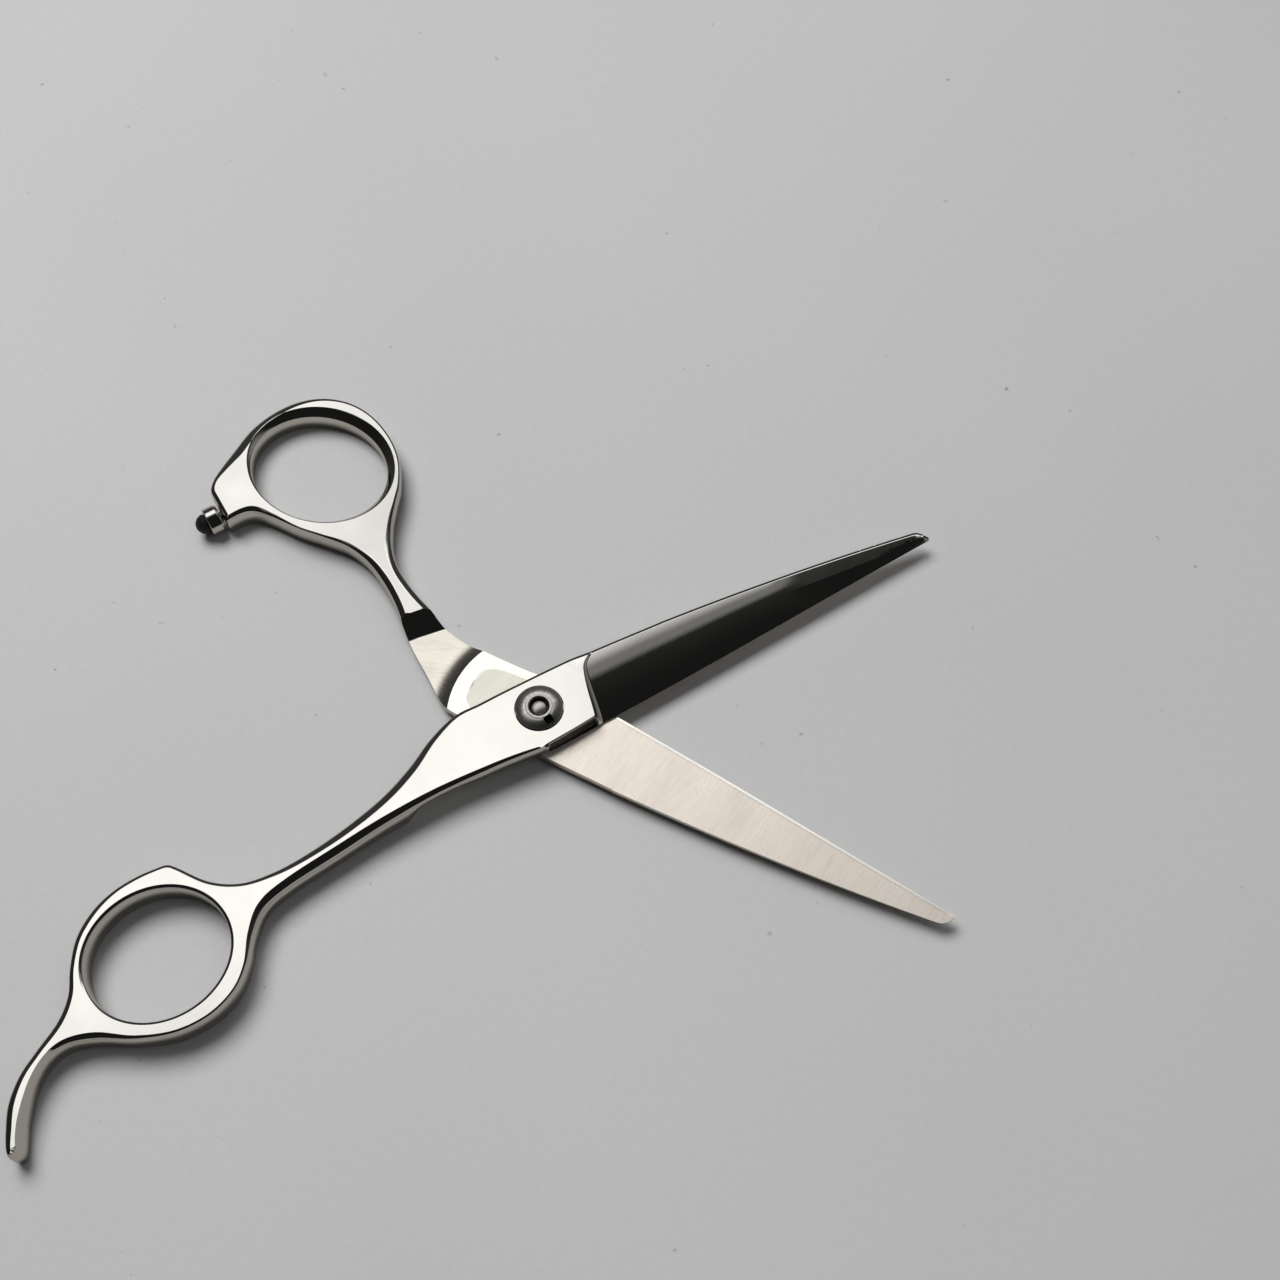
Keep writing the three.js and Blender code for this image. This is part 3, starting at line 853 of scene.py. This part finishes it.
def brushed_steel(name, grain, tint, roughness, strength, metallic=1, contrast=1.0):
    """Satin face with grain lines along one direction."""
    m = Nodes(name)
    m.shader.inputs["Metallic"].default_value = metallic
    lines = m.noise(m.place((9000, 260, 900), grain), 4, .7)
    broad = m.noise(m.place((300, 40, 100), grain), 3, .5)
    both = m.math("ADD", m.math("MULTIPLY", lines, .7), m.math("MULTIPLY", broad, .3))
    dark = tuple(c * (1 - .18 * contrast) for c in tint)
    light = tuple(min(1, c * (1 + .1 * contrast)) for c in tint)
    m.link(m.ramp(both, [(.3, dark), (.5, tint), (.7, light)]), m.shader.inputs["Base Color"])
    rough, smoother = roughness + .08 * contrast, roughness - .06 * contrast
    m.link(m.span(both, .3, .7, rough, smoother), m.shader.inputs["Roughness"])
    m.bump(lines, strength, .00004)
    return m.material


def turned_steel(name, tint, roughness):
    """Machined face with grain running round the pivot axis, so that light fans out across it."""
    m = Nodes(name)
    m.shader.inputs["Metallic"].default_value = 1
    coordinates = m.add("ShaderNodeTexCoord")
    split = m.add("ShaderNodeSeparateXYZ")
    m.link(coordinates.outputs["Object"], split.inputs[0])
    angle = m.math("ARCTAN2", split.outputs["Y"], split.outputs["X"])
    join = m.add("ShaderNodeCombineXYZ")
    m.link(m.math("MULTIPLY", angle, 26.0), join.inputs["X"])
    radius = m.math("SQRT", m.math("ADD", m.math("MULTIPLY", split.outputs["X"], split.outputs["X"]),
                                   m.math("MULTIPLY", split.outputs["Y"], split.outputs["Y"])))
    m.link(m.math("MULTIPLY", radius, 500), join.inputs["Y"])
    lines = m.noise(join.outputs[0], 4, .65)
    dark = tuple(c * .5 for c in tint)
    m.link(m.ramp(lines, [(.33, dark), (.52, tint), (.7, tuple(min(1, c * 1.3) for c in tint))]),
           m.shader.inputs["Base Color"])
    m.link(m.span(lines, .3, .7, roughness + .1, roughness - .05), m.shader.inputs["Roughness"])
    m.bump(lines, .2, .00003)
    return m.material


def black_rubber():
    m = Nodes("black_rubber")
    grain = m.noise(m.place((3500, 3500, 3500)), 3, .6)
    broad = m.noise(m.place((500, 500, 500)), 2, .5)
    m.link(m.ramp(broad, [(.3, (.006, .006, .007)), (.7, (.014, .014, .015))]), m.shader.inputs["Base Color"])
    m.link(m.span(grain, .3, .7, .42, .58), m.shader.inputs["Roughness"])
    m.shader.inputs["Specular IOR Level"].default_value = .3
    m.bump(grain, .35, .00004)
    return m.material


def white_nylon():
    m = Nodes("white_nylon")
    grain = m.noise(m.place((1800, 1800, 1800)), 3, .6)
    m.link(m.ramp(grain, [(.3, (.72, .72, .69)), (.7, (.82, .82, .79))]), m.shader.inputs["Base Color"])
    m.link(m.span(grain, .3, .7, .38, .5), m.shader.inputs["Roughness"])
    m.bump(grain, .2, .00003)
    return m.material


def paper_floor():
    """Plain pale board with faint mottling and a few specks. Mirrors see it about a quarter dimmer."""
    m = Nodes("pale_board")
    fine = m.noise(m.place((900, 900, 900)), 4, .6)
    broad = m.noise(m.place((7, 7, 7)), 2, .5)
    specks = m.noise(m.place((420, 420, 420), .4), 2, .4)
    both = m.math("ADD", m.math("MULTIPLY", fine, .4), m.math("MULTIPLY", broad, .6))
    base = m.ramp(both, [(.3, (.535, .538, .545)), (.7, (.59, .592, .597))])
    mix = m.add("ShaderNodeMix", data_type="RGBA", blend_type="MULTIPLY")
    mix.inputs[0].default_value = 1
    m.link(base, mix.inputs[6])
    m.link(m.ramp(specks, [(0, 1.0), (.76, 1.0), (.80, .6)]), mix.inputs[7])
    card = m.add("ShaderNodeMix", data_type="RGBA", blend_type="MULTIPLY")
    rays = m.add("ShaderNodeLightPath")
    m.link(rays.outputs["Is Glossy Ray"], card.inputs[0])
    m.link(mix.outputs[2], card.inputs[6])
    card.inputs[7].default_value = (*FLOOR_MIRRORED, 1)
    m.link(card.outputs[2], m.shader.inputs["Base Color"])
    m.shader.inputs["Roughness"].default_value = .75
    m.bump(fine, .12, .0001)
    return m.material


# ---------------------------------------------------------------- round pieces
def arc(centre, radius, start, end, steps=6):
    turn = np.radians(np.linspace(start, end, steps + 1))
    return [(centre[0] + radius * math.cos(a), centre[1] + radius * math.sin(a)) for a in turn]


def lathe(name, profile, material, count=96, place=None):
    """Turns a profile, from the axis or round on itself, about Z. place moves the points."""
    turn = np.linspace(0, 2 * np.pi, count, endpoint=False)
    vertices, rings = [], []
    for r, z in profile:
        if r < 1e-6:
            rings.append([len(vertices)])
            vertices.append((0, 0, z))
        else:
            rings.append(list(range(len(vertices), len(vertices) + count)))
            vertices += [(r * math.cos(a), r * math.sin(a), z) for a in turn]
    closed = profile[0][0] > 1e-6
    pairs = list(zip(rings, rings[1:])) + ([(rings[-1], rings[0])] if closed else [])
    faces = []
    for low, high in pairs:
        for i in range(count):
            j = (i + 1) % count
            face = [low[i % len(low)], low[j % len(low)], high[j % len(high)], high[i % len(high)]]
            faces.append(list(dict.fromkeys(face)))
    vertices = np.array(vertices, float)
    if place is not None:
        vertices = place(vertices)
    thing = make_object(name, vertices, faces, [material])
    thing.data.set_sharp_from_angle(angle=math.radians(32))
    return thing


LUG_FACE = np.array([-65.15, 8.35, 2.65])
BUMPER_ANGLE = math.radians(238)


def along_bumper(vertices):
    """From a frame with the bumper's axis along Z to its place on the lug."""
    laid = np.stack([vertices[:, 2], vertices[:, 1], -vertices[:, 0]], 1)
    laid = turned(laid, BUMPER_ANGLE) + LUG_FACE
    return turned(laid, -HALF_OPENING)


class Nut:
    """The tension nut: a coned disc with a raised rim round the stud and one key notch."""

    def __init__(self):
        self.loops = [Loop(circle(NUT_RADIUS, 160, .1)[::-1].copy()), Loop(circle(NUT_BORE, 96, .1))]
        self.along = np.array([math.cos(NOTCH_ANGLE), math.sin(NOTCH_ANGLE)])
        self.across = np.array([-self.along[1], self.along[0]])

    def height(self, p, near=None):
        r = np.hypot(p[:, 0], p[:, 1])
        cone = .5 * (1 - np.clip((r - NUT_RING[1]) / 1.5, 0, 1) ** 1.6)
        ring = .15 * smooth(NUT_RING[1], NUT_RING[0], r)
        drop = rounding(NUT_RADIUS - r, np.full(len(r), .14)) + rounding(r - NUT_BORE, np.full(len(r), .1))
        height = NUT_TOP + cone + ring - drop
        start, end, half_width = NOTCH
        u = p @ self.along
        v = np.abs(p @ self.across)
        wall = np.clip(np.minimum(np.minimum(u - start, end - u), half_width - v) / SEAT_WALL, 0, 1)
        return height + (NOTCH_FLOOR - height) * wall

    def lines(self):
        result = []
        for r, count in ((2.06, 80), (2.11, 80), (2.16, 80), (1.8, 72), (1.95, 76), (3.4, 110), (3.0, 100),
                         (2.6, 90), (3.66, 140)):
            result.append((circle(r, count)[:, :2], r in NUT_RING or None))
        for inset in (0, SEAT_WALL):
            start = NOTCH[0] + inset
            end = NOTCH[1] - inset
            v = NOTCH[2] - inset
            shape = [(end, -v), (start, -v), (start, v), (end, v)]
            line = np.vstack([spline([shape[i - 1], shape[i]], .12)[:-1] for i in range(4)])
            result.append((line[:, :1] * self.along + line[:, 1:2] * self.across, True))
        return result


def zone_of(half, p, side):
    """0 polished, 1 blade face, 2 satin valley, 3 half moon, 4 its recess, 5 the wall over the heel, painted
    dark as shade and a dark reflection of the gap.
    """
    kind = np.zeros(len(p), int)
    x, y = p[:, 0], p[:, 1]
    if side != 1:
        heel = np.array(FRONT_HEEL)
        # The wall over the heel gets material 5, a near black steel: painted shade and painted dark
        # reflection of the gap.
        kind[(x > HEEL_X) & (x < heel[-1, 0] + .3) & (y < np.interp(x, heel[:, 0], heel[:, 1]))] = 5
        return kind
    r = np.hypot(x, y)
    u = x * math.cos(half.scoop["angle"]) + y * math.sin(half.scoop["angle"])
    lap = u < half.scoop["base"]
    kind[lap & (r < MOON_RADIUS)] = 3
    kind[lap & (x < 0) & (oval(x, y) < .95)] = 4
    kind[lap & (r > MOON_RADIUS) & (x < 0)] = 2
    ride = (y - edge_y(x) < RIDE_WIDTH) & (x < BLADE_LENGTH - 1)
    kind[(x > 0) & (r > 5.2) & ~ride] = 1
    return kind


# ---------------------------------------------------------------- pieces
chrome = polished_steel()


def half_materials(prefix, angle):
    grain = -angle
    blade = brushed_steel(prefix + "_blade_face", grain + math.radians(6), (.95, .865, .78), .30, .28,
                          metallic=.55)
    valley = brushed_steel(prefix + "_valley", grain + math.radians(75), (.69, .66, .59), .24, .06,
                           contrast=.7)
    moon = brushed_steel(prefix + "_half_moon", grain, (.86, .845, .78), .2, .04, contrast=.4)
    recess = brushed_steel(prefix + "_recess", grain + math.radians(20), (.82, .80, .72), .34, .1,
                           contrast=.6)
    # Near black steel for the wall over the heel: painted shade and painted dark reflection, not the steel's
    # own colour.
    heel = brushed_steel(prefix + "_heel_wall_painted_shade", grain, (.10, .095, .09), .2, .1)
    return [chrome, blade, valley, moon, recess, heel]


def add_half(name, half, materials, node, body, roll, angle):
    vertices, faces, normals, kinds = build_half(half, zone_of)
    normals = normals.reshape(-1, 3)
    if roll:
        flip = np.array([1, -1, -1])
        vertices = vertices * flip
        normals = normals * flip
    vertices = turned(vertices, angle) + [0, 0, PARTING_Z]
    normals = turned(normals, angle)
    thing = make_object(name, vertices, faces, materials, normals, kinds)
    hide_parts(node)
    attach(thing, body)


add_half("finger_half_fine", FingerHalf(), half_materials("finger", HALF_OPENING),
         "finger_half", "finger_side", False, HALF_OPENING)
add_half("thumb_half_fine", ThumbHalf(), half_materials("thumb", -HALF_OPENING),
         "thumb_half", "thumb_side", True, -HALF_OPENING)


def add_nut():
    nut = Nut()
    points = [loop.points[:, :2] for loop in nut.loops]
    edges, start = ring_edges(points)
    for line, closed in nut.lines():
        r = np.hypot(line[:, 0], line[:, 1])
        keep = (r < NUT_RADIUS - .03) & (r > NUT_BORE + .03)
        index = []
        for q, good in zip(line, keep):
            if good:
                points.append(q[None, :])
                index.append(start)
                start += 1
        if closed is not None:
            edges += list(zip(index, index[1:]))
            if closed:
                edges.append((index[-1], index[0]))
    place, faces, where = triangulate(np.vstack(points), edges)
    middle = np.hypot(*place[faces].mean(1).T)
    faces = faces[(middle < NUT_RADIUS) & (middle > NUT_BORE)]
    faces = facing_up(place, faces)
    count = len(place)
    height = nut.height(place)
    back = np.full(count, NUT_BACK)
    vertices = np.vstack([np.column_stack([place, height]), np.column_stack([place, back])])
    normal = corner_normals(nut.height, place, faces, None)
    centre = place[faces].mean(1)
    # The faces inside the key notch are marked here for a near black material: painted shade in the recess.
    start, end, half_width = NOTCH
    u = centre @ nut.along
    notch = (u > start) & (u < end) & (np.abs(centre @ nut.across) < half_width)
    all_faces = [faces, faces[:, ::-1] + count]
    normals = [normal.reshape(-1, 3, 3), np.tile([0, 0, -1.0], (len(faces), 3, 1))]
    start = 0
    for loop in nut.loops:
        ring = where[start:start + len(loop.points)]
        start += len(loop.points)
        p = loop.points[:, :2]
        sign = 1 if loop is nut.loops[0] else -1
        for i in range(len(ring)):
            j = (i + 1) % len(ring)
            n_i = [*(sign * p[i] / np.linalg.norm(p[i])), 0]
            n_j = [*(sign * p[j] / np.linalg.norm(p[j])), 0]
            a, b = int(ring[i]), int(ring[j])
            all_faces.append(np.array([[a, a + count, b + count], [a, b + count, b]]))
            normals.append(np.array([[n_i, n_i, n_j], [n_i, n_j, n_j]]))
    vertices[:, 2] += PARTING_Z
    all_faces = np.vstack(all_faces)
    kinds = np.zeros(len(all_faces), int)
    kinds[:len(faces)] = notch
    # The second material is near black turned steel for the notch floor: painted shade, not the nut's own
    # colour.
    thing = make_object("tension_nut_fine", vertices, all_faces,
                        [turned_steel("turned_nut", (.60, .59, .56), .3),
                         turned_steel("notch_floor_painted_shade", (.03, .03, .028), .5)], np.vstack(normals), kinds)
    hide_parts("tension_nut")
    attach(thing, "tension_nut")


add_nut()

STUD_PROFILE = ([(0, 0), (1.2, 0)] + [(1.25, .05), (1.25, .3), (1.55, .3), (1.55, .05), (1.6, 0)]
                + [(4.2, 0)] + arc((4.2, .3), .3, -90, 0) + [(4.5, .9), (2.5, .9), (2.5, 4.7), (1.25, 4.7)]
                + [(1.25, 6.2)] + arc((1.05, 6.2), .2, 0, 60, 4)[1:]
                + [(r, 6.38 + .2 * (1 - (r / 1.15) ** 2)) for r in (1.0, .8, .6, .4, .2, 0)])
stud = lathe("pivot_stud_fine", STUD_PROFILE, turned_steel("turned_stud", (.58, .57, .54), .3))
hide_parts("pivot_stud")
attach(stud, "thumb_side")

COLLAR_PROFILE = ([(1.1, 1.1), (1.95, 1.1)] + arc((1.95, 1.35), .25, -90, 0, 4) + [(2.25, 1.45), (2.4, 1.55)]
                  + [(2.4, 3.2)] + arc((2.2, 3.25), .2, 0, 90, 4)
                  + [(1.62, 3.45), (1.5, 3.35), (1.5, 1.7), (1.1, 1.7)])
collar = lathe("bumper_collar_fine", COLLAR_PROFILE, chrome, place=along_bumper)
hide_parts("bumper_collar")
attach(collar, "thumb_side")

PAD_PROFILE = ([(0, 1.95), (1.15, 1.95), (1.15, 3.3), (1.2, 3.5)] + arc((1.35, 3.8), .4, -110, -10, 4)
               + arc((0, 3.75), 1.75, 0, 90, 14)[:-1] + [(0, 5.5)])
pad = lathe("bumper_pad_fine", PAD_PROFILE, black_rubber(), count=64, place=along_bumper)
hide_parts("bumper_pad")
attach(pad, "thumb_side")

# These four keep their CAD shape. The bush is hidden in the pivot, and is steel here but nylon in the record
carried = {
    "pivot_bush": turned_steel("turned_bush", (.60, .58, .5), .3),
    "spring_washer": turned_steel("turned_washer", (.55, .54, .52), .3),
    "glide_washer": white_nylon(),
    # The screw is tinted near black as painted shade for the shadowed neck under the collar.
    "bumper_screw": turned_steel("turned_screw_painted_shade", (.14, .135, .13), .4),
}
for node, material in carried.items():
    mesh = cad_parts[node].data
    mesh.materials.clear()
    mesh.materials.append(material)


# ---------------------------------------------------------------- floor, light and camera
def add_floor():
    steps = FLOOR_STEPS
    grid = np.linspace(-FLOOR_SIZE, FLOOR_SIZE, steps + 1)
    vertices = [(x, y, 0) for y in grid for x in grid]
    faces = []
    for j in range(steps):
        for i in range(steps):
            a = j * (steps + 1) + i
            faces.append((a, a + 1, a + steps + 2, a + steps + 1))
    mesh = bpy.data.meshes.new("floor")
    mesh.from_pydata(vertices, [], faces)
    mesh.materials.append(paper_floor())
    floor = bpy.data.objects.new("floor", mesh)
    bpy.context.scene.collection.objects.link(floor)


def add_world():
    """A wide soft window high on the far side. The room is dark round the camera and near the horizon."""
    world = bpy.data.worlds.new("studio")
    bpy.context.scene.world = world
    world.use_nodes = True
    tree = world.node_tree
    background = tree.nodes["Background"]

    def add(kind, **settings):
        node = tree.nodes.new(kind)
        for key, value in settings.items():
            setattr(node, key, value)
        return node

    def calc(operation, a, b=0.0):
        node = add("ShaderNodeMath", operation=operation)
        for socket, value in zip(node.inputs, (a, b)):
            if isinstance(value, (int, float)):
                socket.default_value = value
            else:
                tree.links.new(value, socket)
        return node.outputs[0]

    def step(value, low, high):
        node = add("ShaderNodeMapRange", interpolation_type="SMOOTHSTEP")
        node.inputs["From Min"].default_value = low
        node.inputs["From Max"].default_value = high
        tree.links.new(value, node.inputs["Value"])
        return node.outputs["Result"]

    coordinates = add("ShaderNodeTexCoord")
    split = add("ShaderNodeSeparateXYZ")
    tree.links.new(coordinates.outputs["Generated"], split.inputs[0])
    x, y, z = split.outputs
    up = calc("MAXIMUM", z, .02)
    u = calc("DIVIDE", x, up)
    v = calc("DIVIDE", y, up)
    slanted = calc("SUBTRACT", v, calc("MULTIPLY", u, WINDOW_SLANT))
    bright = calc("MULTIPLY", step(slanted, .25, .47), .86)
    sill = calc("MULTIPLY", step(slanted, .09, .2), .14)
    window = calc("ADD", bright, sill)
    window = calc("MULTIPLY", window, step(z, .60, .70))
    sideways = calc("MULTIPLY", step(u, -.70, -.46), calc("SUBTRACT", 1.0, step(u, .4, 1.3)))
    window = calc("MULTIPLY", window, sideways)
    clouds = add("ShaderNodeTexNoise")
    clouds.inputs["Scale"].default_value = 5.5
    clouds.inputs["Detail"].default_value = 1.0
    tree.links.new(coordinates.outputs["Generated"], clouds.inputs["Vector"])
    fade = calc("ADD", clouds.outputs["Fac"], .95)
    strength = calc("MULTIPLY", window, fade)
    room = calc("ADD", calc("MULTIPLY", step(y, -.2, .9), .04), .012)
    room = calc("ADD", room, calc("MULTIPLY", step(x, .7, .9), .22))
    total = calc("ADD", strength, room)
    background.inputs["Color"].default_value = (1, .99, .975, 1)
    tree.links.new(total, background.inputs["Strength"])


def add_light(name, place, size, power, colour):
    data = bpy.data.lights.new(name, "AREA")
    data.shape = "DISK"
    data.size = size
    data.energy = power
    data.color = colour
    light = bpy.data.objects.new(name, data)
    light.location = place
    aim = Vector((0, 0, 0)) - Vector(place)
    light.rotation_euler = aim.to_track_quat("-Z", "Y").to_euler()
    light.visible_glossy = False
    bpy.context.scene.collection.objects.link(light)


def add_camera():
    data = bpy.data.cameras.new("camera")
    data.sensor_fit = "HORIZONTAL"
    data.angle = math.radians(FIELD_OF_VIEW)
    data.clip_start = .01
    camera = bpy.data.objects.new("camera", data)
    camera.location = CAMERA_PLACE
    camera.rotation_euler = [math.radians(turn) for turn in CAMERA_TURN]
    bpy.context.scene.collection.objects.link(camera)
    bpy.context.scene.camera = camera


add_floor()
add_world()
add_light("key", (-.30, .36, .80), .55, 6.6, (1, .995, .985))
add_light("fill", (.5, -.2, 1.1), .9, 1.2, (.97, .985, 1))
add_camera()
bpy.context.scene.view_settings.view_transform = "Standard"
